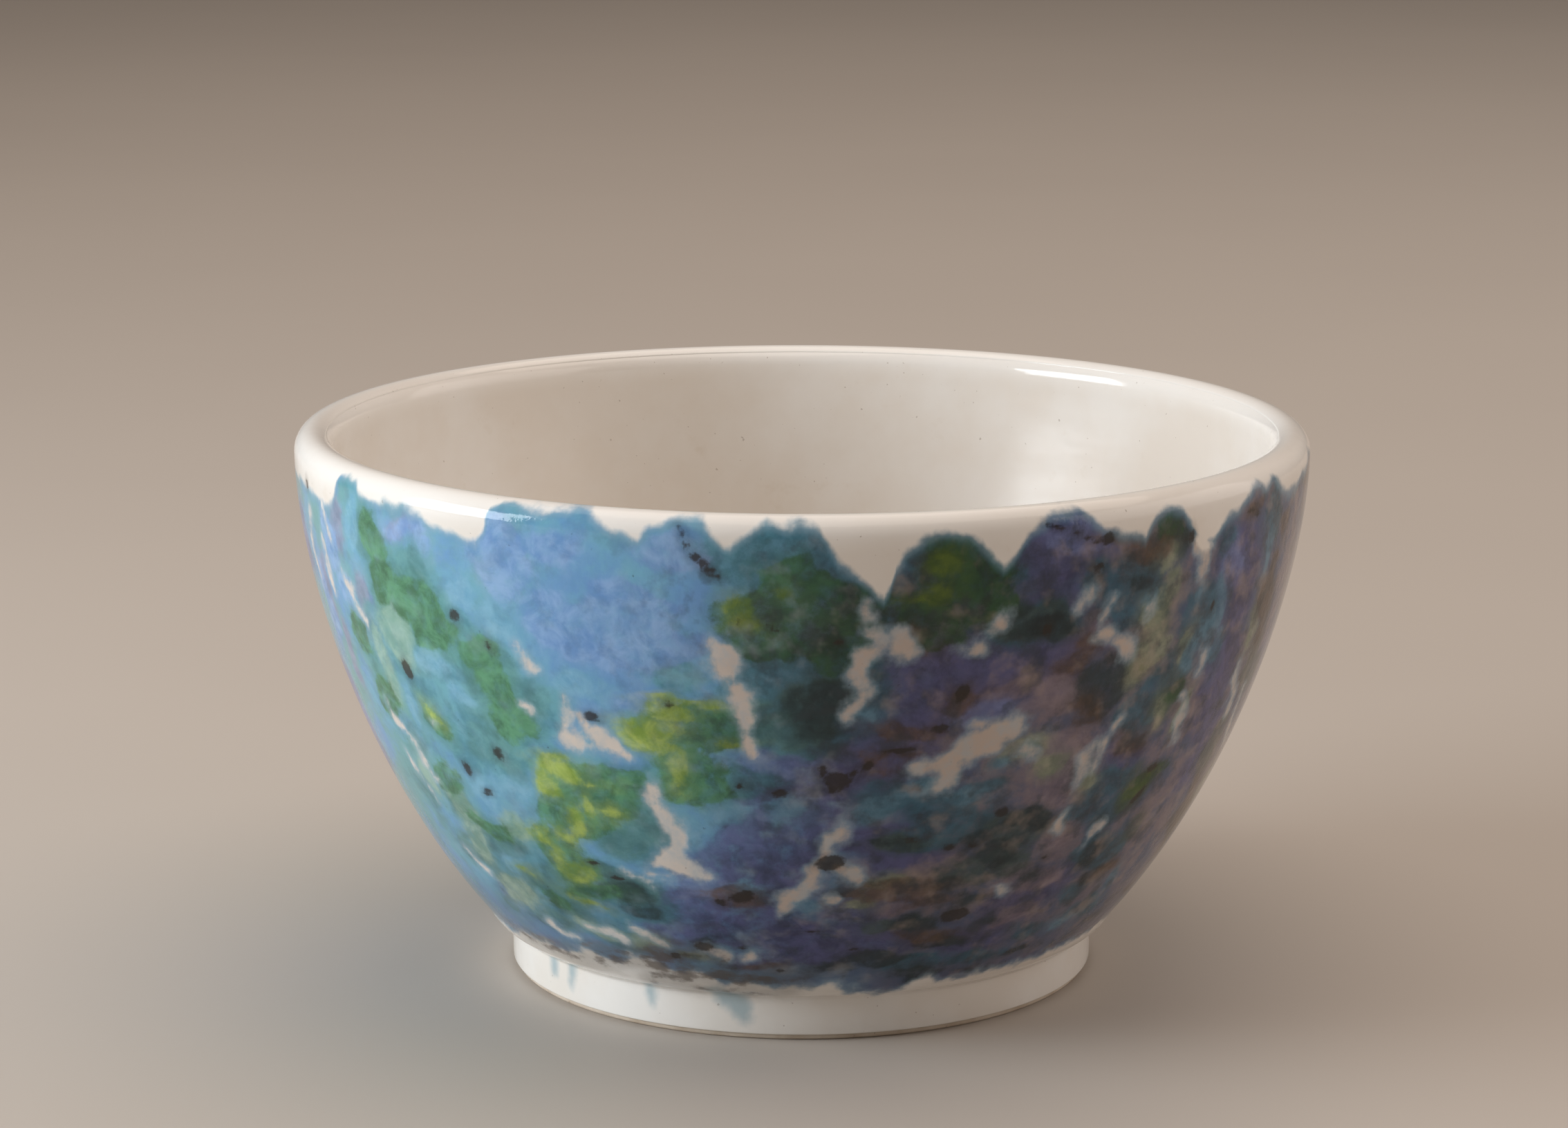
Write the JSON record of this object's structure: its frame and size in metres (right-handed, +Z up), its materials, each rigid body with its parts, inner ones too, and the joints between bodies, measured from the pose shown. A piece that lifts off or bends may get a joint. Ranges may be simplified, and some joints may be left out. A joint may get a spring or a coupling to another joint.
{
  "type": "punch bowl",
  "caption": "Deep round ceramic bowl with a thick rounded lip and a low foot ring, glazed inside and out, for serving punch or salad.",
  "frame": {"origin": "centre of the foot ring's flat contact face, on the bowl's axis of revolution", "axes": "+Z up along the axis of revolution, out of the mouth; +X and +Y in the plane the bowl stands on, with the side seen first facing -Y"},
  "size_m": [0.26, 0.26, 0.1422],
  "materials": {
    "bisque_clay": "matte, unglazed, fine-grained",
    "sponged_glaze": "high gloss; sponged blue, green and purple outside, milky white inside, on the lip and on the foot",
    "white_glaze": "high gloss, milky white"
  },
  "bodies": {
    "root": {"bowl_body": "bisque_clay", "foot_ring": "bisque_clay", "glaze_coat": "sponged_glaze", "underside_glaze": "white_glaze"}
  },
  "joints": []
}
